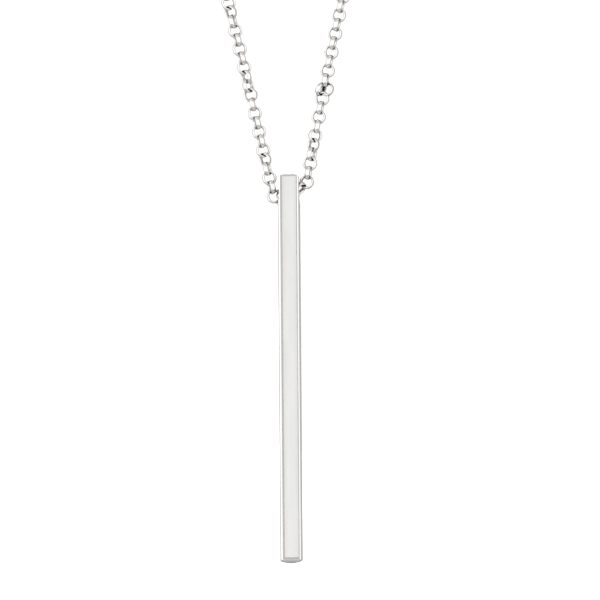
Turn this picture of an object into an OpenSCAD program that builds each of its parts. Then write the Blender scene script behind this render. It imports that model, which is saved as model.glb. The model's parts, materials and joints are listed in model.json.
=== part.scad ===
// A long square bar pendant on a rolo chain, in millimetres.
// The chain runs through a cross hole near the top of the bar and closes at the nape.
// +Z is up and -Y is the front. The origin is the middle of the neck loop.

/* [Bar] */
// Length of the bar from end to end
bar_length = 50; // [30:1:60]
// Width of the bar, seen from the front
bar_width = 2.95; // [2.8:0.05:4]
// Depth of the bar, front to back
bar_depth = 2.95; // [2.8:0.05:4]
// Radius of the bar's four long edges
edge_radius = 0.58; // [0.3:0.02:0.8]
// Radius of the domed ends, seen from the front
dome_radius = 3.8; // [2.5:0.1:8]
// Radius of the corners where the sides meet the domed ends
end_corner = 0.3; // [0.1:0.05:0.6]
// Rounding of the front and back edges at the foot
foot_radius = 0.85; // [0.3:0.05:1.1]
// Rounding of the front and back edges at the head
head_radius = 0.3; // [0.2:0.05:0.6]

/* [Chain hole] */
// From the top of the bar to the middle of the hole
hole_drop = 2.75; // [2.4:0.05:5]
// Play round a link inside the hole
hole_play = 0.2; // [0.15:0.05:0.35]
// Depth of the countersink at each mouth
mouth_depth = 0.1; // [0.05:0.05:0.2]
// Width of the bar between the reliefs at the head of both its sides
relief_width = 2.58; // [2.4:0.02:2.7]
// From the middle of the hole down to the slope at the lower end of the relief
relief_below = 0.25; // [0:0.05:1]
// Height of that slope
relief_slope = 1; // [0.4:0.1:1.6]

/* [Chain] */
// Outer diameter of a link
link_outer = 1.9; // [1.7:0.05:2]
// Thickness of a link's wire across the ring
link_wire = 0.25; // [0.2:0.01:0.26]
// Width of a link's wire along the ring's axis
link_width = 0.42; // [0.3:0.02:0.46]
// Slack between two linked wires
link_gap = 0.16; // [0.14:0.01:0.2]
// Links in each front strand, counted from the middle of the hole
strand_links = 120; // [60:1:124]

/* [Neck loop] */
// Radius of the chain round the back and sides of the neck
neck_radius = 52; // [46:1:60]
// From the middle of the neck forward to the hanging strands
front_reach = 44; // [36:1:50]
// From the neck loop down to the middle of the bar's hole
drop = 228; // [200:1:260]
// Radius of the bend where a strand turns back over the shoulder
shoulder_radius = 12; // [8:1:20]
// How far the bar hangs to the right of the neck's middle
bar_shift = 2.9; // [0:0.1:4]

/* [Clasp] */
// Outer diameter of the clasp's ring
clasp_outer = 5.5; // [5:0.1:7]
// Thickness of the clasp's ring
clasp_wire = 0.9; // [0.7:0.05:1.1]
// Outer diameter of the eyelet on the clasp
eyelet_outer = 2.2; // [2:0.1:2.6]
// Thickness of the eyelet's wire
eyelet_wire = 0.56; // [0.4:0.02:0.6]
// Diameter of the finger knob on the clasp
knob_diameter = 0.8; // [0.6:0.05:1]
// Height of the finger knob
knob_height = 0.9; // [0.5:0.1:1.5]
// Outer diameter of the end ring
end_ring_outer = 3.2; // [3:0.1:4]
// Thickness of the end ring's wire
end_ring_wire = 0.6; // [0.4:0.05:0.7]

/* [Hidden] */
$fn = 48;

// Chain
link_inner = link_outer / 2 - link_wire;
link_pitch = link_inner + sqrt(pow(link_inner, 2) - pow(link_width / 2, 2)) - link_gap;
piece_gap = 0.12;  // between pieces that hold or meet one another

// The route of the chain where it leaves the hole, link by link. Columns: heading of the
// step from the +X side up, in degrees, and the step's length as a share of the pitch.
RIGHT_BEND = [[23, 0.92], [40, 0.93], [78, 1]];
LEFT_BEND = [[182, 1], [109, 0.98], [105, 0.98]];

// Bar hole
hole_radius = link_outer / 2 + hole_play;
relief_foot = hole_drop + relief_below;  // from the top of the bar
hole_middle = [bar_shift, -front_reach, -drop];
cut_over = 1;  // how far a cutter runs past the metal

// Neck loop
tube_sides = 8;
ring_step = 2.8 * link_outer;  // spacing of the tube's rings

// Clasp: the ring and eyelet lie flat against the nape, the end ring across them
clasp_mid = (clasp_outer - clasp_wire) / 2;
eyelet_mid = (eyelet_outer - eyelet_wire) / 2;
eyelet_overlap = 0.2;  // how deep the eyelet is set into the ring
eyelet_x = (clasp_outer + eyelet_outer) / 2 - eyelet_overlap;
end_ring_mid = (end_ring_outer - end_ring_wire) / 2;
end_ring_x = -clasp_mid + (clasp_wire + end_ring_wire) / 2 + piece_gap - end_ring_mid;

function unit(v) = v / norm(v);
function step(row) = row[1] * link_pitch * [cos(row[0]), 0, sin(row[0])];

// Middles of the links. side is 1 on the right and -1 on the left, and k counts up from the
// link in the hole. After the bend the links run straight to the shoulder.
function bend(side) = side > 0 ? RIGHT_BEND : LEFT_BEND;
function bend_link(side, k) = k == 0
    ? hole_middle + [side * link_pitch / 2, 0, 0]
    : bend_link(side, k - 1) + step(bend(side)[k - 1]);
function bend_end(side) = bend_link(side, len(bend(side)));
function shoulder(side) = [side * neck_radius, -front_reach, 0];
function strand_way(side) = unit(shoulder(side) - bend_end(side));
function link_middle(side, k) = k <= len(bend(side))
    ? bend_link(side, k)
    : bend_end(side) + (k - len(bend(side))) * link_pitch * strand_way(side);

// The way the chain runs at a link, and the link's turn about it. Neighbours lie a quarter
// turn apart, and the first link on the right shows its face.
function link_way(side, k) = link_middle(side, k + 1)
    - (k == 0 ? link_middle(-side, 0) : link_middle(side, k - 1));
function link_turn(side, k) = 90 * (side > 0 ? k : k + 1);

// Lengths along the tube of one side: strand, shoulder bend, side of the neck, nape
tube_start_link = strand_links - 1;
function tube_start(side) = link_middle(side, tube_start_link)
    + (link_outer / 2 + piece_gap) * strand_way(side);
function strand_rest(side) = norm(shoulder(side) - tube_start(side)) - shoulder_radius;
bend_length = 90 * PI / 180 * shoulder_radius;
side_length = front_reach - shoulder_radius;
function nape_reach(side) = piece_gap
    + (side > 0 ? eyelet_x + eyelet_outer / 2 : end_ring_outer / 2 - end_ring_x);
function nape_angle(side) = 90 - asin(nape_reach(side) / neck_radius);
function nape_length(side) = nape_angle(side) * PI / 180 * neck_radius;

// A ring of the tube: its middle, the way the chain runs there, and a direction across it
// that turns no more than the chain does
function strand_across(side) = cross(strand_way(side), [0, 1, 0]);
function loop_across(side, way) =
    strand_way(side)[0] * [0, 0, 1] + strand_way(side)[2] * cross([0, 0, 1], way);
function strand_ring(side, s) =
    [tube_start(side) + s * strand_way(side), strand_way(side), strand_across(side)];
function bend_ring(side, s) =
    let (a = s / shoulder_radius * 180 / PI, way = strand_way(side), back = [0, 1, 0])
    [shoulder(side) + shoulder_radius * ((sin(a) - 1) * way + (1 - cos(a)) * back),
     cos(a) * way + sin(a) * back, strand_across(side)];
function side_ring(side, s) =
    [shoulder(side) + [0, shoulder_radius + s, 0], [0, 1, 0], loop_across(side, [0, 1, 0])];
function nape_ring(side, s) =
    let (a = s / neck_radius * 180 / PI, way = [-side * sin(a), cos(a), 0])
    [neck_radius * [side * cos(a), sin(a), 0], way, loop_across(side, way)];

// Evenly spaced distances from 0 to length, with or without the last one
function spaced(length, last = false) =
    let (n = ceil(length / ring_step)) [for (i = [0:last ? n : n - 1]) i * length / n];
function tube_rings(side) = concat(
    [for (s = spaced(strand_rest(side))) strand_ring(side, s)],
    [for (s = spaced(bend_length)) bend_ring(side, s)],
    [for (s = spaced(side_length)) side_ring(side, s)],
    [for (s = spaced(nape_length(side), last = true)) nape_ring(side, s)]);

function ring_points(ring) =
    let (up = cross(ring[1], ring[2]))
    [for (i = [0:tube_sides - 1]) let (a = 360 * i / tube_sides)
        ring[0] + link_outer / 2 * (cos(a) * ring[2] + sin(a) * up)];

// What a round corner leaves of a square one, for a corner at the origin
module corner_cut(radius) {
    difference() {
        translate([-cut_over, -cut_over]) square(radius + cut_over);
        translate([radius, radius]) circle(r = radius);
    }
}

module rounded_rectangle(width, height, low_radius, high_radius) {
    difference() {
        square([width, height], center = true);
        for (x = [0, 1], y = [0, 1])
            mirror([x, 0]) mirror([0, y]) translate([-width, -height] / 2)
                corner_cut(y == 0 ? low_radius : high_radius);
    }
}

// One end of the bar from the front: a dome that runs into the sides through round corners
module domed_end() {
    middle = bar_length / 2 - dome_radius;
    corner_x = bar_width / 2 - end_corner;
    corner_y = middle + sqrt(pow(dome_radius - end_corner, 2) - pow(corner_x, 2));
    translate([-bar_width / 2, 0]) square([bar_width, corner_y]);
    for (x = [-corner_x, corner_x])
        translate([x, corner_y]) circle(r = end_corner);
    intersection() {
        translate([0, middle]) circle(r = dome_radius);
        polygon([[0, middle], 2 * [corner_x, corner_y - middle] + [0, middle],
                 2 * [-corner_x, corner_y - middle] + [0, middle]]);
    }
}

module bar_body() {
    intersection() {
        linear_extrude(bar_length, center = true)
            rounded_rectangle(bar_width, bar_depth, edge_radius, edge_radius);
        rotate([90, 0, 0]) linear_extrude(bar_depth, center = true) {
            domed_end();
            mirror([0, 1]) domed_end();
        }
        rotate([90, 0, 90]) linear_extrude(bar_width, center = true)
            rounded_rectangle(bar_depth, bar_length, foot_radius, head_radius);
    }
}

module side_relief() {
    top = bar_length / 2;
    foot = top - relief_foot;
    outer = bar_width / 2 + cut_over;
    inner = relief_width / 2;
    slope = relief_slope / (bar_width / 2 - inner);
    rotate([90, 0, 0]) linear_extrude(bar_depth + 2 * cut_over, center = true)
        polygon([[inner, top + cut_over], [inner, foot], [outer, foot - slope * (outer - inner)],
                 [outer, top + cut_over]]);
}

module hole_mouth() {
    face = relief_width / 2;
    rotate([0, 90, 0]) rotate_extrude()
        polygon([[0, face - mouth_depth], [hole_radius, face - mouth_depth],
                 [hole_radius + mouth_depth + cut_over, face + cut_over], [0, face + cut_over]]);
}

module bar_pendant() {
    color("silver") translate(hole_middle) difference() {
        translate([0, 0, hole_drop - bar_length / 2]) difference() {
            bar_body();
            side_relief();
            mirror([1, 0, 0]) side_relief();
        }
        rotate([0, 90, 0]) cylinder(r = hole_radius, h = bar_width + 2 * cut_over, center = true);
        hole_mouth();
        mirror([1, 0, 0]) hole_mouth();
    }
}

module link() {
    rotate_extrude() translate([link_inner, -link_width / 2]) square([link_wire, link_width]);
}

module strand(side) {
    for (k = [0:strand_links - 1])
        translate(link_middle(side, k)) rotate(a = link_turn(side, k), v = link_way(side, k))
            rotate([90, 0, 0]) link();
}

module chain_front() {
    color("silver") {
        strand(1);
        strand(-1);
    }
}

module tube(rings) {
    n = tube_sides;
    last = len(rings) - 1;
    polyhedron(
        points = [for (r = rings) each ring_points(r)],
        faces = concat(
            [[for (i = [0:n - 1]) i]],
            [for (j = [0:last - 1], i = [0:n - 1])
                [j * n + i, (j + 1) * n + i, (j + 1) * n + (i + 1) % n, j * n + (i + 1) % n]],
            [[for (i = [n - 1:-1:0]) last * n + i]]));
}

module chain_back() {
    color("silver") {
        tube(tube_rings(1));
        tube(tube_rings(-1));
    }
}

module ring(middle_radius, wire) {
    rotate_extrude() translate([middle_radius, 0]) circle(d = wire, $fn = 24);
}

module clasp() {
    color("silver") translate([0, neck_radius, 0]) {
        rotate([90, 0, 0]) ring(clasp_mid, clasp_wire);
        translate([eyelet_x, 0, 0]) rotate([90, 0, 0]) ring(eyelet_mid, eyelet_wire);
        translate([0, 0, clasp_mid]) cylinder(d = knob_diameter, h = clasp_wire / 2 + knob_height);
    }
}

module end_ring() {
    color("silver") translate([end_ring_x, neck_radius, 0]) ring(end_ring_mid, end_ring_wire);
}

bar_pendant();
chain_front();
chain_back();
clasp();
end_ring();
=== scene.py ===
"""Looks of the bar pendant on its rolo chain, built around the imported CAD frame.

The bar, the links, the clasp and the end ring are built finer than the CAD's and stand for its
nodes. Lengths are in millimetres unless a comment says otherwise, and to_object() turns a mesh
into metres. Tables by side have 1 for the right as seen from the front, and -1 for the left.
"""

import json
import math

import bmesh
import bpy
import numpy as np
from mathutils import Matrix, Vector

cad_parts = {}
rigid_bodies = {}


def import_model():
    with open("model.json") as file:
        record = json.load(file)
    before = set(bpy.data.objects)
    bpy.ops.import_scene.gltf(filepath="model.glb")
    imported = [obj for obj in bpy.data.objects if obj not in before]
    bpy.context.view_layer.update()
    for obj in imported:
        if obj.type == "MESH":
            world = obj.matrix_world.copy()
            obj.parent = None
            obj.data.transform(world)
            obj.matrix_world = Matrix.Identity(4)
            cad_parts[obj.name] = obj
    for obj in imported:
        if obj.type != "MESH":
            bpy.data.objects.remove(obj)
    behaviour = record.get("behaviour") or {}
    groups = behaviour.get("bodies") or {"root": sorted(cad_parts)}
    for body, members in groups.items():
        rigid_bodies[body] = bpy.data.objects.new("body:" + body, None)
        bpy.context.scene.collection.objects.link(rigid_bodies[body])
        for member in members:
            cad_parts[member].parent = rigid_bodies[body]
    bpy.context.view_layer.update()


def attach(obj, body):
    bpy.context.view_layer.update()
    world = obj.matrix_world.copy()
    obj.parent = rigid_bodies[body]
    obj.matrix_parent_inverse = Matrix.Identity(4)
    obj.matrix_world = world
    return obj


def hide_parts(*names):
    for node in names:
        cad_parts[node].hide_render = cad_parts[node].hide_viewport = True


MM = 0.001

# Neck loop, with the sizes of the CAD
NECK_RADIUS = 52.0
FRONT_REACH = 44.0
DROP = 228.0
SHOULDER_RADIUS = 12.0
BAR_SHIFT = 2.9
HOLE_MIDDLE = np.array([BAR_SHIFT, -FRONT_REACH, -DROP])

# Bar, with the sizes of the CAD
BAR_LENGTH = 50.0
BAR_WIDTH = 2.95
EDGE_RADIUS = 0.58
DOME_RADIUS = 3.8
END_CORNER = 0.3
FOOT_RADIUS = 0.85
HEAD_RADIUS = 0.3
HOLE_DROP = 2.75
HOLE_RADIUS = 1.15
MOUTH_DEPTH = 0.1
RELIEF_WIDTH = 2.58
RELIEF_BELOW = 0.25
RELIEF_SLOPE = 1.0

# How the bar is cut and polished
CUT_OVER = 1.0  # how far a cutter runs past the metal
SECTION_ROUND = 0.9  # most of a section's half width that its rounding takes
FOOT_START = 8.0  # slope of the surface at the foot's lowest section, in degrees
EDGE_EASE = 0.1  # most that the polish takes off a sharp edge
EASED_ANGLE = 32.0  # least turn of an edge that it rounds, in degrees

# The satin, and how far the surface turns within the painted dark reflection round it, in
# degrees: to the left and the right, downwards at the foot, and upwards at the head
SATIN_CORE = 0.45  # half the width of its evenly bright middle
SATIN_LEVEL = 0.9999  # least Y of the normal of a satin face
DARK_REFLECTION_TURN = {-1: 26.0, 1: 13.0}
DARK_REFLECTION_FALL = 16.0
DARK_REFLECTION_RISE = 26.0

# Links of rounded wire
LINK_PITCH = 1.213
LINK_TOUCH = 0.004  # half the gap between two linked wires
LINK_WIRE = 0.34  # across the ring
LINK_WIDTH = 0.62  # along the ring's axis
FRONT_LINKS = 120  # of each side, in the strand's own piece

# The first link of each side, in the hole, as X and Z from the middle of the hole
HOLE_LINKS = {1: (0.58, 0.15), -1: (-0.63, 0.065)}

# The route from there to the straight strand, link by link. Columns: heading of the step from
# the +X side up, in degrees, and the step's length as a share of the pitch.
BEND = {1: [(40.5, 1), (40.5, 1), (80, 1)], -1: [(187, 1), (104, 1), (103.5, 1)]}

# Where each strand leaves the picture and turns slightly to its shoulder, as X and Z from the
# middle of the hole, and how far it bows inwards below that
KNEE = {1: (7.0, 24.4), -1: (-7.41, 24.4)}
BOW = 0.08

# How far each strand is twisted beyond the quarter turn from link to link.
# Columns: link, counted from the hole, and twist in degrees.
TWIST = {
    1: [
        (0, 0), (1, -35), (3, -15), (4, -15), (9, -105),
        (11, -105), (12, -125), (13, -125), (14, -105),
    ],
    -1: [
        (0, 0), (1, 10), (3, 10), (6, -80), (10, -80),
        (15, -170), (19, -170), (22, -260),
    ],
}

# Two bunched links in the right strand, between link KINK_FOOT and the second after it
KINK_FOOT = 11
KINK_ANGLE = 19.0  # how far each of them leans out of the strand, in degrees

# Clasp and end ring, with the sizes of the CAD
CLASP_OUTER = 5.5
CLASP_WIRE = 0.9
EYELET_OUTER = 2.2
EYELET_WIRE = 0.56
EYELET_OVERLAP = 0.2
KNOB_DIAMETER = 0.8
KNOB_HEIGHT = 0.9
END_RING_OUTER = 3.2
END_RING_WIRE = 0.6
PIECE_GAP = 0.12
CLASP_MID = (CLASP_OUTER - CLASP_WIRE) / 2
EYELET_MID = (EYELET_OUTER - EYELET_WIRE) / 2
EYELET_X = (CLASP_OUTER + EYELET_OUTER) / 2 - EYELET_OVERLAP
END_RING_MID = (END_RING_OUTER - END_RING_WIRE) / 2
END_RING_X = -CLASP_MID + (CLASP_WIRE + END_RING_WIRE) / 2 + PIECE_GAP - END_RING_MID

# Where the last link of each side hangs, in the clasp's eyelet and in the end ring, and the axis
# of its ring
LAST_SLACK = 0.05
LINK_HOLE = LINK_PITCH / 2 + LINK_TOUCH
END_X = {
    1: EYELET_X + EYELET_OUTER / 2 - EYELET_WIRE + LINK_HOLE - LAST_SLACK,
    -1: END_RING_X - (END_RING_MID - END_RING_WIRE / 2 + LINK_HOLE - LAST_SLACK),
}
END_AXIS = {1: np.array([0.0, 0.0, 1.0]), -1: np.array([0.0, 1.0, 0.0])}

# How fine the meshes are: steps round each curve
EDGE_STEPS = 14
CORNER_STEPS = 8
DOME_STEPS = 32
FOOT_STEPS = 14
HOLE_STEPS = 64
KNOB_STEPS = 40
KNOB_EDGE_STEPS = 6
FRONT_FINENESS = (44, 14)  # round a link of the strands, and round its wire
BACK_FINENESS = (32, 10)
RING_FINENESS = (96, 28)

# How closely the chain's route is drawn: steps along a strand, a shoulder and half the neck
STRAND_STEPS = 16
SHOULDER_STEPS = 90
NECK_STEPS = 180

# The photograph's frame: the middle of its view on the front plane, its width, and its tilt
VIEW_MIDDLE = (4.33, -FRONT_REACH, -241.44)
VIEW_WIDTH = 77.1
VIEW_ROLL = 0.45  # degrees
VIEW_BEARING = -4.7  # degrees from straight in front, towards +X
CAMERA_REACH = 700.0
SENSOR = 36.0

# Colours of the silver, each as its darker and its lighter patches
SATIN_MIDDLE = ((0.79, 0.795, 0.785), (0.84, 0.845, 0.835))
# Painted shade: the satin's darker colours towards its sides
SATIN_SHADED_SIDE = ((0.73, 0.732, 0.72), (0.78, 0.782, 0.77))
POLISH = ((0.915, 0.9, 0.885), (0.95, 0.942, 0.93))
# Painted dark reflection: the colours of the darker line round the satin
DARK_REFLECTION = ((0.42, 0.405, 0.39), (0.5, 0.485, 0.47))

# Noise in the silver, in features a metre, and the relief that it gives, in metres
SATIN_GRAIN = 9000
SATIN_CLOUD = 700
POLISH_WEAR = 1800
DARK_REFLECTION_NOISE = 2500
GRAIN_RELIEF = 0.00002

# Painted shade in the hollows of the silver, where pieces nearly touch
CREVICE_SHADE_REACH = 0.55
CREVICE_SHADE_OPENNESS = (0.55, 0.93)  # where it is complete, and where it ends
CREVICE_SHADE = (0.06, 0.055, 0.05)

# Studio
FLOOR_Z = -300.0
FLOOR_RADIUS = 6000.0
FLOOR_GREY = (0.9, 0.9, 0.9)
FLOOR_GLOW = 0.45
BACKDROP_RADIUS = 7000.0
BACKDROP_GLOW = 1.02
WHITE = (1.0, 1.0, 1.0)
GREY_TINT = (1.0, 0.975, 0.955)

# What the silver mirrors below, level with and above the bar. Columns: bearing in degrees,
# from the camera's side towards the right, and level.
LOW = [(-180, 0.34), (-100, 0.36), (-90, 0.54), (90, 0.54), (100, 0.36), (180, 0.34)]
LEVEL = [(-180, 0.56), (-99, 0.58), (-95, 1.15), (65, 1.15), (69, 0.5), (180, 0.5)]
HIGH = [(-180, 0.58), (-100, 0.58), (-90, 0.68), (60, 0.68), (70, 0.55), (180, 0.55)]

# Elevations in degrees over which LOW turns into LEVEL, and LEVEL into HIGH
LOW_EDGE = (-44.0, -36.0)
HIGH_EDGE = (36.0, 46.0)


def unit(v):
    return v / np.linalg.norm(v)


def to_object(name, mesh, materials, smooth_angle=30.0):
    """A piece from a mesh in millimetres, smooth up to smooth_angle."""
    mesh.transform(Matrix.Scale(MM, 4))
    for polygon in mesh.polygons:
        polygon.use_smooth = True
    mesh.set_sharp_from_angle(angle=math.radians(smooth_angle))
    obj = bpy.data.objects.new(name, mesh)
    bpy.context.scene.collection.objects.link(obj)
    for material in materials:
        mesh.materials.append(material)
    return obj


def mesh_from(name, points, faces):
    mesh = bpy.data.meshes.new(name)
    mesh.from_pydata([tuple(p) for p in points], [], [tuple(f) for f in faces])
    mesh.update()
    return mesh


# Materials


class Nodes:
    """Helpers for a node tree. A value is a number, a colour or another node's output."""

    def __init__(self, tree):
        self.tree = tree
        self.nodes = tree.nodes

    def join(self, value, socket):
        if isinstance(value, bpy.types.NodeSocket):
            self.tree.links.new(value, socket)
        elif socket.type == "RGBA":
            socket.default_value = (*value, 1)
        else:
            socket.default_value = value

    def math(self, operation, *values):
        node = self.nodes.new("ShaderNodeMath")
        node.operation = operation
        for value, socket in zip(values, node.inputs):
            self.join(value, socket)
        return node.outputs["Value"]

    def ranged(self, value, low, high, start=0.3, end=0.7):
        """From low to high as the value goes from start to end."""
        node = self.nodes.new("ShaderNodeMapRange")
        self.join(value, node.inputs["Value"])
        self.join(start, node.inputs["From Min"])
        self.join(end, node.inputs["From Max"])
        self.join(low, node.inputs["To Min"])
        self.join(high, node.inputs["To Max"])
        return node.outputs["Result"]

    def mixed(self, factor, low, high):
        """Colour from low to high as the factor goes from 0 to 1."""
        node = self.nodes.new("ShaderNodeMix")
        node.data_type = "RGBA"
        self.join(factor, node.inputs["Factor"])
        self.join(low, node.inputs["A"])
        self.join(high, node.inputs["B"])
        return node.outputs["Result"]


class Shader(Nodes):
    """Node helpers for one material."""

    def __init__(self, name):
        self.material = bpy.data.materials.new(name)
        self.material.use_nodes = True
        super().__init__(self.material.node_tree)
        self.principled = self.nodes["Principled BSDF"]

    def set(self, name, value):
        self.join(value, self.principled.inputs[name])

    def coordinates(self):
        return self.nodes.new("ShaderNodeTexCoord").outputs["Object"]

    def noise(self, scale, detail, stretch=(1, 1, 1)):
        mapping = self.nodes.new("ShaderNodeMapping")
        self.join(stretch, mapping.inputs["Scale"])
        self.join(self.coordinates(), mapping.inputs["Vector"])
        noise = self.nodes.new("ShaderNodeTexNoise")
        self.join(scale, noise.inputs["Scale"])
        self.join(detail, noise.inputs["Detail"])
        self.join(mapping.outputs["Vector"], noise.inputs["Vector"])
        return noise.outputs["Fac"]

    def bump(self, height, strength):
        node = self.nodes.new("ShaderNodeBump")
        self.join(strength, node.inputs["Strength"])
        self.join(GRAIN_RELIEF, node.inputs["Distance"])
        self.join(height, node.inputs["Height"])
        self.set("Normal", node.outputs["Normal"])

    def off_middle(self, middle):
        """Distance to either side of the plane at X = middle."""
        parts = self.nodes.new("ShaderNodeSeparateXYZ")
        self.join(self.coordinates(), parts.inputs["Vector"])
        return self.math("ABSOLUTE", self.math("SUBTRACT", parts.outputs["X"], middle))

    def openness(self, reach):
        """1 on an open surface, less where another surface lies within reach."""
        node = self.nodes.new("ShaderNodeAmbientOcclusion")
        node.samples = 8
        self.join(reach, node.inputs["Distance"])
        return node.outputs["AO"]


def satin_silver():
    """Fine satin: small grain, drawn out along the bar, and painted shade that darkens it towards
    its sides.
    """
    shader = Shader("satin_silver")
    shader.set("Metallic", 1.0)
    grain = shader.noise(SATIN_GRAIN, detail=4, stretch=(1, 1, 0.35))
    cloud = shader.ranged(shader.noise(SATIN_CLOUD, detail=3, stretch=(1, 1, 0.2)), 0, 1)
    flat = BAR_WIDTH / 2 - EDGE_RADIUS
    # Painted shade: the satin darkens from its middle out to its sides
    beside = shader.ranged(shader.off_middle(BAR_SHIFT * MM), 0, 1, SATIN_CORE * MM, flat * MM)
    middle = shader.mixed(cloud, *SATIN_MIDDLE)
    side = shader.mixed(cloud, *SATIN_SHADED_SIDE)
    shader.set("Base Color", shader.mixed(beside, middle, side))
    shader.set("Roughness", shader.ranged(grain, 0.5, 0.6))
    shader.bump(grain, strength=0.25)
    return shader.material


def polished_silver():
    """Bright silver with faint wear in its gloss, and painted shade that darkens it where pieces
    nearly touch.
    """
    shader = Shader("polished_silver")
    shader.set("Metallic", 1.0)
    wear = shader.noise(POLISH_WEAR, detail=4)
    bright = shader.mixed(shader.ranged(wear, 0, 1), *POLISH)
    # Painted shade: darker where another surface lies near, from ambient occlusion
    crevice_shade = shader.ranged(shader.openness(CREVICE_SHADE_REACH * MM), 0, 1, *CREVICE_SHADE_OPENNESS)
    shader.set("Base Color", shader.mixed(crevice_shade, CREVICE_SHADE, bright))
    shader.set("Roughness", shader.ranged(wear, 0.06, 0.13))
    shader.bump(wear, strength=0.05)
    return shader.material


def dark_reflection_silver():
    """A painted dark reflection: the fine darker line that runs round the satin, where it meets
    the polish.
    """
    shader = Shader("dark_reflection_silver")
    shader.set("Metallic", 1.0)
    wear = shader.noise(DARK_REFLECTION_NOISE, detail=4)
    shader.set("Base Color", shader.mixed(shader.ranged(wear, 0, 1), *DARK_REFLECTION))
    shader.set("Roughness", shader.ranged(wear, 0.14, 0.24))
    return shader.material


# Bar


def arc(middle, radius, start, end, steps):
    """Points of an arc, with the angles in degrees."""
    angles = np.radians(np.linspace(start, end, steps + 1))
    return [(middle[0] + radius * math.cos(a), middle[1] + radius * math.sin(a)) for a in angles]


def rounded_rectangle(width, height, radius):
    x, y = width / 2 - radius, height / 2 - radius
    return (
        arc((x, y), radius, 0, 90, EDGE_STEPS)
        + arc((-x, y), radius, 90, 180, EDGE_STEPS)
        + arc((-x, -y), radius, 180, 270, EDGE_STEPS)
        + arc((x, -y), radius, 270, 360, EDGE_STEPS)
    )


def domed_end(width):
    """The top end from the front: a low dome with a round corner on each side."""
    middle = BAR_LENGTH / 2 - DOME_RADIUS
    corner_x = width / 2 - END_CORNER
    rise = math.sqrt((DOME_RADIUS - END_CORNER) ** 2 - corner_x**2)
    lean = math.degrees(math.atan2(rise, corner_x))
    return (
        arc((corner_x, middle + rise), END_CORNER, 0, lean, CORNER_STEPS)
        + arc((0, middle), DOME_RADIUS, lean, 180 - lean, DOME_STEPS)[1:-1]
        + arc((-corner_x, middle + rise), END_CORNER, 180 - lean, 180, CORNER_STEPS)
    )


def head_front():
    """An outline from the front that trims the head alone: its dome and its relieved sides."""
    relief = BAR_LENGTH / 2 - HOLE_DROP - RELIEF_BELOW
    inner = RELIEF_WIDTH / 2
    outer = BAR_WIDTH / 2 + CUT_OVER
    fall = RELIEF_SLOPE / (BAR_WIDTH / 2 - inner) * (outer - inner)
    right = [(outer, -BAR_LENGTH / 2 - CUT_OVER), (outer, relief - fall), (inner, relief)]
    return domed_end(RELIEF_WIDTH) + [(-x, z) for x, z in reversed(right)] + right


def skinned(rings):
    """A closed mesh through rings of as many points each, capped at both ends."""
    count = len(rings[0])
    points = [point for ring in rings for point in ring]
    faces = [tuple(reversed(range(count))), tuple(range(len(points) - count, len(points)))]
    for low in range(0, len(points) - count, count):
        for i in range(count):
            after = (i + 1) % count
            faces.append((low + i, low + after, low + count + after, low + count + i))
    return mesh_from("solid", points, faces)


def prism(outline, depth, turn):
    """A straight prism of the outline, whose axis is Z before turn."""
    mesh = skinned([[(x, y, z) for x, y in outline] for z in (-depth / 2, depth / 2)])
    mesh.transform(turn)
    return mesh


def foot_sections():
    """Height over the foot's lowest point, half width and half depth of each of its sections."""
    side = [point for point in domed_end(BAR_WIDTH) if point[0] > 0]
    widths, heights = zip(*side)
    sections = []
    for a in np.radians(np.linspace(FOOT_START, 90, FOOT_STEPS + 1)):
        height = FOOT_RADIUS * (1 - math.cos(a))
        half_width = np.interp(BAR_LENGTH / 2 - height, heights, widths)
        half_depth = BAR_WIDTH / 2 - FOOT_RADIUS * (1 - math.sin(a))
        sections.append((height, half_width, half_depth))
    return sections


def blank():
    """The bar with its rounded edges and foot, taller than it by CUT_OVER."""
    top = (BAR_LENGTH + CUT_OVER, BAR_WIDTH / 2, BAR_WIDTH / 2)
    rings = []
    for height, half_width, half_depth in foot_sections() + [top]:
        radius = min(EDGE_RADIUS, SECTION_ROUND * half_width)
        section = rounded_rectangle(2 * half_width, 2 * half_depth, radius)
        rings.append([(*point, height - BAR_LENGTH / 2) for point in section])
    return skinned(rings)


def revolved(profile, turn, steps):
    """A solid of revolution about Z before turn. The profile runs from axis to axis."""
    points, faces = [], []
    rim = profile[1:-1]
    count = len(rim)
    for s in range(steps):
        a = 2 * math.pi * s / steps
        points += [(r * math.cos(a), r * math.sin(a), z) for r, z in rim]
    low, high = len(points), len(points) + 1
    points += [(0, 0, profile[0][1]), (0, 0, profile[-1][1])]
    for s in range(steps):
        here, there = s * count, (s + 1) % steps * count
        faces += [(here + i, there + i, there + i + 1, here + i + 1) for i in range(count - 1)]
        faces += [(low, there, here), (high, here + count - 1, there + count - 1)]
    mesh = mesh_from("revolved", points, faces)
    mesh.transform(turn)
    return mesh


def bore_profile():
    """The cross hole from its axis out: a straight bore with a widened mouth at each end."""
    face = RELIEF_WIDTH / 2
    reach = BAR_WIDTH / 2 + CUT_OVER
    wide = HOLE_RADIUS + MOUTH_DEPTH + CUT_OVER
    return [
        (0, -reach),
        (wide, -face - CUT_OVER),
        (HOLE_RADIUS, MOUTH_DEPTH - face),
        (HOLE_RADIUS, face - MOUTH_DEPTH),
        (wide, face + CUT_OVER),
        (0, reach),
    ]


def combined(base, others):
    """The base mesh after one exact boolean for each (operation, mesh) of others."""
    scene = bpy.context.scene.collection.objects
    made = bpy.data.objects.new("base", base)
    scene.link(made)
    tools = []
    for operation, mesh in others:
        tool = bpy.data.objects.new("tool", mesh)
        scene.link(tool)
        tools.append(tool)
        modifier = made.modifiers.new(operation, "BOOLEAN")
        modifier.operation = operation
        modifier.solver = "EXACT"
        modifier.object = tool
    graph = bpy.context.evaluated_depsgraph_get()
    result = bpy.data.meshes.new_from_object(made.evaluated_get(graph))
    for obj in [made, *tools]:
        bpy.data.objects.remove(obj)
    result.materials.clear()
    return result


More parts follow.
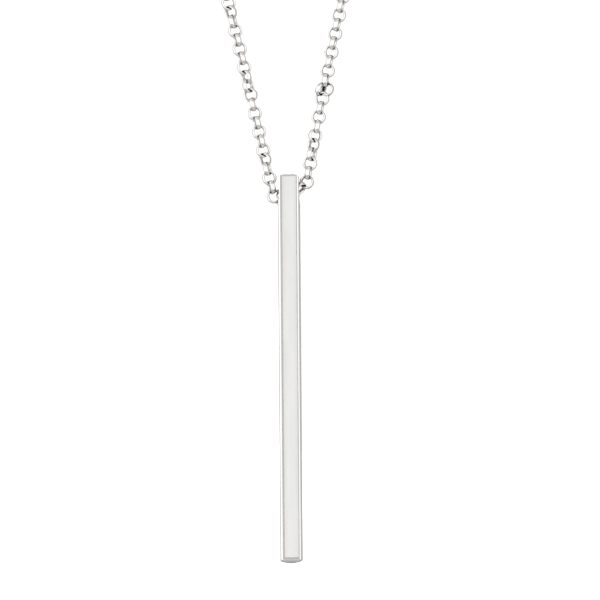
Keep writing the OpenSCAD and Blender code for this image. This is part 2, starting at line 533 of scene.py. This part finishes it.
def bar_mesh():
    """The bar, upright about its own middle."""
    to_front = Matrix.Rotation(math.radians(90), 4, "X")
    to_side = Matrix.Rotation(math.radians(90), 4, "Z") @ to_front
    across = Matrix.Rotation(math.radians(90), 4, "Y")
    at_hole = Matrix.Translation((0, 0, BAR_LENGTH / 2 - HOLE_DROP)) @ across
    below = Matrix.Translation((0, 0, -CUT_OVER))
    profile = rounded_rectangle(BAR_WIDTH, BAR_LENGTH + 2 * CUT_OVER, HEAD_RADIUS)
    depth = BAR_WIDTH + CUT_OVER
    return combined(
        blank(),
        [
            ("INTERSECT", prism(head_front(), depth, to_front)),
            ("INTERSECT", prism(profile, depth, below @ to_side)),
            ("DIFFERENCE", revolved(bore_profile(), at_hole, HOLE_STEPS)),
        ],
    )


def apply_modifiers(obj):
    graph = bpy.context.evaluated_depsgraph_get()
    mesh = bpy.data.meshes.new_from_object(obj.evaluated_get(graph))
    obj.modifiers.clear()
    obj.data = mesh


def ease_edges(obj):
    """Round the sharp edges over slightly, as polishing does."""
    bevel = obj.modifiers.new("eased", "BEVEL")
    bevel.width = EDGE_EASE * MM
    bevel.segments = 3
    bevel.limit_method = "ANGLE"
    bevel.angle_limit = math.radians(EASED_ANGLE)
    apply_modifiers(obj)


def weight_normals(obj):
    """Let the wide faces rule the shading, so that long thin ones beside them shade evenly."""
    obj.modifiers.new("weighted", "WEIGHTED_NORMAL").keep_sharp = True
    apply_modifiers(obj)


def bar_material_index(polygon):
    """Index of the material: 0 polished, 1 satin on the wide faces, 2 the painted dark reflection
    round them.
    """
    x, y, z = polygon.normal
    if abs(y) > SATIN_LEVEL:
        return 1
    turn = math.degrees(math.atan2(abs(x), abs(y)))
    rise = math.degrees(math.asin(z))
    beside = turn < DARK_REFLECTION_TURN[1 if x > 0 else -1]
    return 2 if beside and -DARK_REFLECTION_FALL < rise < DARK_REFLECTION_RISE else 0


def build_bar(polished, satin, dark_reflection):
    mesh = bar_mesh()
    middle = Vector(HOLE_MIDDLE) + Vector((0, 0, HOLE_DROP - BAR_LENGTH / 2))
    mesh.transform(Matrix.Translation(middle))
    bar = to_object("bar", mesh, [polished, satin, dark_reflection])
    ease_edges(bar)
    for polygon in bar.data.polygons:
        # Material 2 is the painted dark reflection round the satin
        polygon.material_index = bar_material_index(polygon)
    weight_normals(bar)
    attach(bar, "pendant")
    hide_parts("bar_pendant")


# Route of the chain


def shoulder(side):
    return np.array([side * NECK_RADIUS, -FRONT_REACH, 0.0])


def bend_points(side):
    """Middles of the links from the hole to the foot of the straight strand."""
    x, z = HOLE_LINKS[side]
    points = [HOLE_MIDDLE + np.array([x, 0, z])]
    for heading, share in BEND[side]:
        a = math.radians(heading)
        points.append(points[-1] + share * LINK_PITCH * np.array([math.cos(a), 0, math.sin(a)]))
    return points


def loop_line(side, start):
    """A closely spaced line from the foot of the strand over the shoulder to the last link."""
    x, z = KNEE[side]
    knee = HOLE_MIDDLE + np.array([x, 0, z])
    way = unit(shoulder(side) - knee)
    back = np.array([0.0, 1.0, 0.0])
    points = []
    for share in np.linspace(0, 1, STRAND_STEPS + 1):
        bow = 4 * share * (1 - share) * BOW * np.array([-side, 0, 0])
        points.append(start + share * (knee - start) + bow)
    for a in np.radians(np.linspace(0, 90, SHOULDER_STEPS + 1)):
        bent = (math.sin(a) - 1) * way + (1 - math.cos(a)) * back
        points.append(shoulder(side) + SHOULDER_RADIUS * bent)
    for a in np.linspace(0, math.acos(abs(END_X[side]) / NECK_RADIUS), NECK_STEPS + 1):
        points.append(NECK_RADIUS * np.array([side * math.cos(a), math.sin(a), 0.0]))
    return np.array(points)


def spread(line, pitch):
    """Points along a line from its start to its end, as near to the pitch as divides it evenly."""
    steps = np.linalg.norm(np.diff(line, axis=0), axis=1)
    at = np.concatenate([[0.0], np.cumsum(steps)])
    distances = np.linspace(0, at[-1], round(at[-1] / pitch) + 1)
    return np.column_stack([np.interp(distances, at, line[:, i]) for i in range(3)])


def kinked(points):
    """The right strand with one more link: two bunched ones in place of the one after the foot."""
    below, above = points[KINK_FOOT], points[KINK_FOOT + 2]
    way = unit(above - below)
    left = np.array([-way[2], 0.0, way[0]])
    a = math.radians(KINK_ANGLE)
    off = LINK_PITCH * (math.cos(a) * way + math.sin(a) * left)
    return np.vstack([points[: KINK_FOOT + 1], below + off, above - off, points[KINK_FOOT + 2 :]])


def link_points(side):
    bend = bend_points(side)
    points = np.vstack([bend[:-1], spread(loop_line(side, bend[-1]), LINK_PITCH)])
    return kinked(points) if side > 0 else points


def link_ways(side, points):
    """Unit direction of the chain at each link, away from the hole."""
    before = bend_points(-side)[0]
    padded = np.vstack([before, points, 2 * points[-1] - points[-2]])
    ways = padded[2:] - padded[:-2]
    return ways / np.linalg.norm(ways, axis=1)[:, None]


def turned(v, axis, degrees):
    """v, which is square to the unit axis, turned about it."""
    a = math.radians(degrees)
    return math.cos(a) * v + math.sin(a) * np.cross(axis, v)


def ring_turn(v, wanted, axis):
    """Least turn about the axis, in degrees, that brings a ring's axis v in line with wanted."""
    a = math.atan2(np.dot(np.cross(v, wanted), axis), np.dot(v, wanted))
    return (math.degrees(a) + 90) % 180 - 90


def link_axes(side, ways):
    """Axis of each ring: a quarter turn from link to link, the twist, and the end's axis last."""
    numbers, table = zip(*TWIST[side])
    twists = np.interp(range(len(ways)), numbers, table)
    across = np.array([0.0, -1.0, 0.0])
    axes = []
    for k, way in enumerate(ways):
        across = unit(across - np.dot(across, way) * way)
        quarters = k if side > 0 else k + 1
        axes.append(turned(across, way, 90 * quarters + twists[k]))
    rest = ring_turn(axes[-1], END_AXIS[side], ways[-1])
    first, last = numbers[-1], len(ways) - 1
    for k in range(first, last + 1):
        axes[k] = turned(axes[k], ways[k], rest * (k - first) / (last - first))
    return np.array(axes)


def link_frames(side):
    """Middle, way and ring axis of each link of one side, counted from the hole."""
    points = link_points(side)
    ways = link_ways(side, points)
    return points, ways, link_axes(side, ways)


# Chain


def wire_ring(middle_radius, thickness, width, fineness):
    """Points and faces of a ring of elliptic wire about Z."""
    around, across = fineness
    u = np.linspace(0, 2 * math.pi, around, endpoint=False)[:, None]
    v = np.linspace(0, 2 * math.pi, across, endpoint=False)
    radius = middle_radius + thickness / 2 * np.cos(v)
    height = np.tile(width / 2 * np.sin(v), (around, 1))
    points = np.stack([np.cos(u) * radius, np.sin(u) * radius, height], axis=-1)
    section, place = np.meshgrid(np.arange(around), np.arange(across), indexing="ij")
    here, there = section * across, (section + 1) % around * across
    after = (place + 1) % across
    faces = np.stack([here + place, there + place, there + after, here + after], axis=-1)
    return points.reshape(-1, 3), faces.reshape(-1, 4)


def links_mesh(name, frames, fineness):
    """One mesh of separate links."""
    middle_radius = (LINK_PITCH + LINK_WIRE) / 2 + LINK_TOUCH
    points, faces = wire_ring(middle_radius, LINK_WIRE, LINK_WIDTH, fineness)
    all_points, all_faces = [], []
    for number, (middle, way, axis) in enumerate(zip(*frames)):
        turn = np.array([way, np.cross(axis, way), axis])
        all_points.append(points @ turn + middle)
        all_faces.append(faces + number * len(points))
    return mesh_from(name, np.vstack(all_points), np.vstack(all_faces))


def build_links(name, node, frames, fineness, material):
    chain = to_object(name, links_mesh(name, frames, fineness), [material], smooth_angle=180)
    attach(chain, "chain")
    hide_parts(node)


def build_chain(material):
    for side, word in ((1, "right"), (-1, "left")):
        frames = link_frames(side)
        front = [values[:FRONT_LINKS] for values in frames]
        back = [values[FRONT_LINKS:] for values in frames]
        build_links(f"strand_{word}", "chain_front", front, FRONT_FINENESS, material)
        build_links(f"neck_chain_{word}", "chain_back", back, BACK_FINENESS, material)


# Clasp


def ring_mesh(middle_radius, wire, turn):
    mesh = mesh_from("ring", *wire_ring(middle_radius, wire, wire, RING_FINENESS))
    mesh.transform(turn)
    return mesh


def knob_profile():
    """The finger knob from its axis out: a straight stem with a rounded top."""
    r = KNOB_DIAMETER / 2
    top = CLASP_WIRE / 2 + KNOB_HEIGHT
    rounding = r / 2
    edge = arc((r - rounding, top - rounding), rounding, 0, 90, KNOB_EDGE_STEPS)
    return [(0, 0), (r, 0), *edge, (0, top)]


def build_clasp(material):
    flat = Matrix.Rotation(math.radians(90), 4, "X")
    at_eyelet = Matrix.Translation((EYELET_X, 0, 0)) @ flat
    at_top = Matrix.Translation((0, 0, CLASP_MID))
    mesh = combined(
        ring_mesh(CLASP_MID, CLASP_WIRE, flat),
        [
            ("UNION", ring_mesh(EYELET_MID, EYELET_WIRE, at_eyelet)),
            ("UNION", revolved(knob_profile(), at_top, KNOB_STEPS)),
        ],
    )
    mesh.transform(Matrix.Translation((0, NECK_RADIUS, 0)))
    clasp = to_object("spring_ring", mesh, [material], smooth_angle=40)
    mesh = ring_mesh(END_RING_MID, END_RING_WIRE, Matrix.Translation((END_RING_X, NECK_RADIUS, 0)))
    last = to_object("last_ring", mesh, [material], smooth_angle=180)
    for piece, node in ((clasp, "clasp"), (last, "end_ring")):
        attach(piece, "chain")
        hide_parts(node)


# Studio


def shaped(name, operator, **sizes):
    """A mesh made by one bmesh operator."""
    mesh = bpy.data.meshes.new(name)
    shape = bmesh.new()
    operator(shape, **sizes)
    shape.to_mesh(mesh)
    shape.free()
    return mesh


def build_floor():
    """A pale floor, bright enough to meet the white backdrop."""
    circle = bmesh.ops.create_circle
    mesh = shaped("floor", circle, cap_ends=True, segments=96, radius=FLOOR_RADIUS)
    mesh.transform(Matrix.Translation((0, 0, FLOOR_Z)))
    shader = Shader("pale_floor")
    shader.set("Base Color", FLOOR_GREY)
    shader.set("Roughness", 0.7)
    shader.set("Emission Color", WHITE)
    shader.set("Emission Strength", FLOOR_GLOW)
    floor = to_object("floor", mesh, [shader.material])
    floor.visible_glossy = False


def white_paper():
    """A white that shines by itself and takes no light or shade."""
    shader = Shader("white_paper")
    shader.nodes.remove(shader.principled)
    light = shader.nodes.new("ShaderNodeEmission")
    shader.join(WHITE, light.inputs["Color"])
    shader.join(BACKDROP_GLOW, light.inputs["Strength"])
    shader.join(light.outputs["Emission"], shader.nodes["Material Output"].inputs["Surface"])
    return shader.material


def build_backdrop():
    """A white dome all round, which lights nothing and isn't mirrored in the silver."""
    sphere = bmesh.ops.create_uvsphere
    mesh = shaped("backdrop", sphere, u_segments=48, v_segments=24, radius=BACKDROP_RADIUS)
    backdrop = to_object("backdrop", mesh, [white_paper()], smooth_angle=180)
    backdrop.visible_glossy = False
    backdrop.visible_diffuse = False
    backdrop.visible_shadow = False
    backdrop.visible_transmission = False
    backdrop.visible_volume_scatter = False


class Sky(Nodes):
    """Node helpers for the studio light."""

    def __init__(self):
        world = bpy.data.worlds.new("studio")
        bpy.context.scene.world = world
        world.use_nodes = True
        super().__init__(world.node_tree)

    def ramp(self, place, stops):
        """Colour by bearing, where place goes from 0 to 1 as the bearing does all round."""
        node = self.nodes.new("ShaderNodeValToRGB")
        elements = node.color_ramp.elements
        for bearing, _ in stops[1:-1]:
            elements.new((bearing + 180) / 360)
        for element, (_, level) in zip(elements, stops):
            tint = GREY_TINT if level < 1 else WHITE
            element.color = (*[level * t for t in tint], 1)
        self.join(place, node.inputs["Fac"])
        return node.outputs["Color"]

    def above(self, height, edge):
        """0 below the edge and 1 above it, with the edge in degrees."""
        return self.ranged(height, 0, 1, math.radians(edge[0]), math.radians(edge[1]))


def build_world():
    """Studio light as the silver mirrors it: panels of different brightness round the object."""
    sky = Sky()
    parts = sky.nodes.new("ShaderNodeSeparateXYZ")
    sky.join(sky.nodes.new("ShaderNodeTexCoord").outputs["Generated"], parts.inputs["Vector"])
    forward = sky.math("MULTIPLY", parts.outputs["Y"], -1)
    bearing = sky.math("ARCTAN2", parts.outputs["X"], forward)
    from_camera = sky.math("SUBTRACT", bearing, math.radians(VIEW_BEARING))
    turns = sky.math("DIVIDE", from_camera, 2 * math.pi)
    place = sky.math("FRACT", sky.math("ADD", turns, 1.5))
    height = sky.math("ARCSINE", parts.outputs["Z"])
    low, level, high = [sky.ramp(place, stops) for stops in (LOW, LEVEL, HIGH)]
    lower = sky.mixed(sky.above(height, LOW_EDGE), low, level)
    whole = sky.mixed(sky.above(height, HIGH_EDGE), lower, high)
    sky.join(whole, sky.nodes["Background"].inputs["Color"])


def build_light(name, size, energy, location, tilt, mirrored=True):
    """A round soft light that the camera doesn't see. Metres, watts and degrees."""
    data = bpy.data.lights.new(name, "AREA")
    data.shape = "DISK"
    data.size = size
    data.energy = energy
    light = bpy.data.objects.new(name, data)
    light.location = location
    light.rotation_euler = [math.radians(a) for a in tilt]
    light.visible_camera = False
    light.visible_glossy = mirrored
    bpy.context.scene.collection.objects.link(light)


def build_camera():
    data = bpy.data.cameras.new("camera")
    data.sensor_width = SENSOR
    data.lens = SENSOR * CAMERA_REACH / VIEW_WIDTH
    data.clip_start = 0.05
    data.clip_end = 50.0
    camera = bpy.data.objects.new("camera", data)
    bearing = math.radians(VIEW_BEARING)
    back = Vector((math.sin(bearing), -math.cos(bearing), 0)) * CAMERA_REACH
    camera.location = (Vector(VIEW_MIDDLE) + back) * MM
    camera.rotation_euler = (math.radians(90), math.radians(VIEW_ROLL), bearing)
    bpy.context.scene.collection.objects.link(camera)
    bpy.context.scene.camera = camera


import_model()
bpy.context.scene.view_settings.view_transform = "Standard"
POLISHED_SILVER = polished_silver()
build_camera()
build_bar(POLISHED_SILVER, satin_silver(), dark_reflection_silver())
build_chain(POLISHED_SILVER)
build_clasp(POLISHED_SILVER)
build_floor()
build_backdrop()
build_world()
build_light(
    "overhead", size=0.8, energy=6.0, location=(0.1, -0.25, 0.9), tilt=(14, 6, 0), mirrored=False
)
build_light("behind", size=0.9, energy=4.0, location=(0.0, 1.3, 0.0), tilt=(-80, 0, 0))
